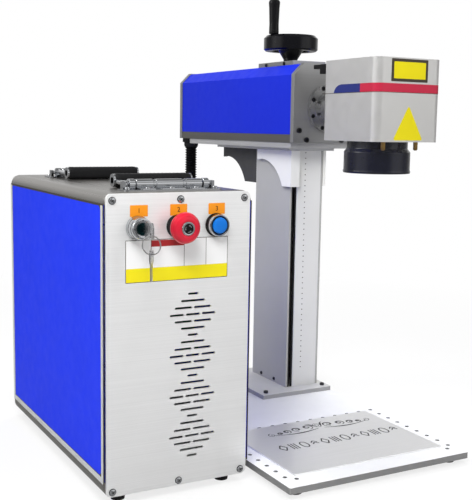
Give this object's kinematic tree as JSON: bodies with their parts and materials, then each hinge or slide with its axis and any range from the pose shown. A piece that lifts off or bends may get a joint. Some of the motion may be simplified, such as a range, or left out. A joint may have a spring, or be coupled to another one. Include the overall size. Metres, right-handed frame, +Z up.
{
  "type": "desktop laser engraver",
  "caption": "Galvo laser engraver: a power cabinet with key, stop and start controls, joined by a ribbed hose to a hand-cranked column whose arm holds a scan head and lens over a table.",
  "frame": {"origin": "on the floor under the middle of the whole machine", "axes": "+X to the right, -Y towards the person at the front panel, +Z up"},
  "size_m": [0.5775, 0.794, 0.737],
  "materials": {
    "blue_paint": "satin powder coat",
    "brushed_aluminium": "fine brushed, clear anodised",
    "white_paint": "satin white powder coat",
    "silver_paint": "satin silver",
    "machined_metal": "machined",
    "dark_paint": "satin dark grey",
    "rubber_black": "matt",
    "black_plastic": "moulded",
    "gloss_black": "polished",
    "lens_black": "black anodised",
    "lens_glass": "coated glass",
    "mirror_glass": "polished",
    "bright_chrome": "polished",
    "steel": "ground",
    "sheet_steel": "brushed",
    "brass": "turned",
    "estop_red": "moulded",
    "button_blue": "moulded lens",
    "board_green": "circuit board",
    "hose_black": "ribbed"
  },
  "bodies": {
    "root": {"cabinet_left_panel": "blue_paint", "cabinet_right_panel": "blue_paint", "cabinet_top": "brushed_aluminium", "cabinet_base": "brushed_aluminium", "front_panel": "brushed_aluminium", "rear_panel": "brushed_aluminium", "column_housing": "brushed_aluminium", "column_cover": "brushed_aluminium", "column_cap": "brushed_aluminium", "column_foot": "brushed_aluminium", "base_plate": "white_paint", "laser_source": "machined_metal", "power_supply": "machined_metal", "rubber_feet": "rubber_black", "dust_lips": "rubber_black", "fan_frame": "black_plastic", "mains_inlet": "black_plastic", "estop_base": "black_plastic", "cabinet_gland": "black_plastic", "handle_plates": "bright_chrome", "key_switch": "bright_chrome", "button_bezel": "bright_chrome", "guide_shafts": "steel", "screw_bearings": "steel", "root_screws": "steel", "work_sheet": "sheet_steel", "control_board": "board_green", "hose": "hose_black"},
    "wheel": {"handwheel": "gloss_black", "lead_screw": "steel"},
    "crank": {"crank_grip": "gloss_black"},
    "arm": {"arm_front_plate": "brushed_aluminium", "arm_rear_plate": "brushed_aluminium", "arm_cover": "blue_paint", "arm_tray": "brushed_aluminium", "arm_support_plate": "brushed_aluminium", "lift_brackets": "white_paint", "rear_bracket": "dark_paint", "carriage": "machined_metal", "beam_tube": "machined_metal", "collimator": "machined_metal", "arm_gland": "black_plastic", "arm_screws": "steel", "galvo_housing": "silver_paint", "galvo_cover": "silver_paint", "galvo_connector": "black_plastic", "galvo_motors": "machined_metal", "lens_barrel": "lens_black", "lens_glass": "lens_glass", "lock_screws": "brass"},
    "x_mirror": {"mirror_x": "mirror_glass"},
    "y_mirror": {"mirror_y": "mirror_glass"},
    "fan": {"fan_rotor": "black_plastic"},
    "key": {"key_cylinder": "bright_chrome"},
    "spare_key": {"key_ring": "bright_chrome"},
    "stop_plunger": {"estop_plunger": "black_plastic"},
    "stop_head": {"estop_head": "estop_red"},
    "button": {"button_cap": "button_blue"},
    "front_handle": {"front_bail": "gloss_black"},
    "rear_handle": {"rear_bail": "gloss_black"}
  },
  "joints": [
    {"name": "wheel_turn", "type": "hinge", "parent": "root", "child": "wheel", "pos_m": [0.219, 0.065, 0.65], "axis": [0, 0, 1], "range_deg": [-25200, 1440]},
    {"name": "arm_lift", "type": "slide", "parent": "root", "child": "arm", "axis": [0, 0, 1], "range_m": [-0.35, 0.02], "deforming": ["hose"]},
    {"name": "crank_spin", "type": "hinge", "parent": "wheel", "child": "crank", "pos_m": [0.18, 0.062, 0.7], "axis": [0, 0, 1], "continuous": true},
    {"name": "fan_spin", "type": "hinge", "parent": "root", "child": "fan", "pos_m": [-0.18, 0.12, 0.33], "axis": [0, 1, 0], "continuous": true},
    {"name": "key_turn", "type": "hinge", "parent": "root", "child": "key", "pos_m": [-0.242, -0.32, 0.374], "axis": [0, 1, 0], "range_deg": [0, 90]},
    {"name": "key_ring_swing", "type": "hinge", "parent": "key", "child": "spare_key", "pos_m": [-0.242, -0.353, 0.3676], "axis": [1, 0, 0], "range_deg": [-15, 15]},
    {"name": "stop_push", "type": "slide", "parent": "root", "child": "stop_plunger", "axis": [0, 1, 0], "range_m": [0, 0.0045]},
    {"name": "stop_twist", "type": "hinge", "parent": "stop_plunger", "child": "stop_head", "pos_m": [-0.185, -0.33, 0.374], "axis": [0, 1, 0], "range_deg": [0, 40], "stiffness_Nm_per_rad": 0.02},
    {"name": "button_press", "type": "slide", "parent": "root", "child": "button", "axis": [0, 1, 0], "range_m": [0, 0.003], "stiffness_N_per_m": 400},
    {"name": "front_handle_fold", "type": "hinge", "parent": "root", "child": "front_handle", "pos_m": [-0.18, -0.267, 0.428], "axis": [1, 0, 0], "range_deg": [0, 90]},
    {"name": "rear_handle_fold", "type": "hinge", "parent": "root", "child": "rear_handle", "pos_m": [-0.18, 0.044, 0.428], "axis": [-1, 0, 0], "range_deg": [0, 90]},
    {"name": "mirror_x_turn", "type": "hinge", "parent": "arm", "child": "x_mirror", "pos_m": [0.22, -0.205, 0.541], "axis": [0, 0, 1], "range_deg": [-12, 12]},
    {"name": "mirror_y_turn", "type": "hinge", "parent": "arm", "child": "y_mirror", "pos_m": [0.22, -0.205, 0.519], "axis": [1, 0, 0], "range_deg": [-12, 12]}
  ],
  "couplings": [
    {"joint": "wheel_turn", "follows": "arm_lift", "rad_per_m": 1256.6}
  ]
}
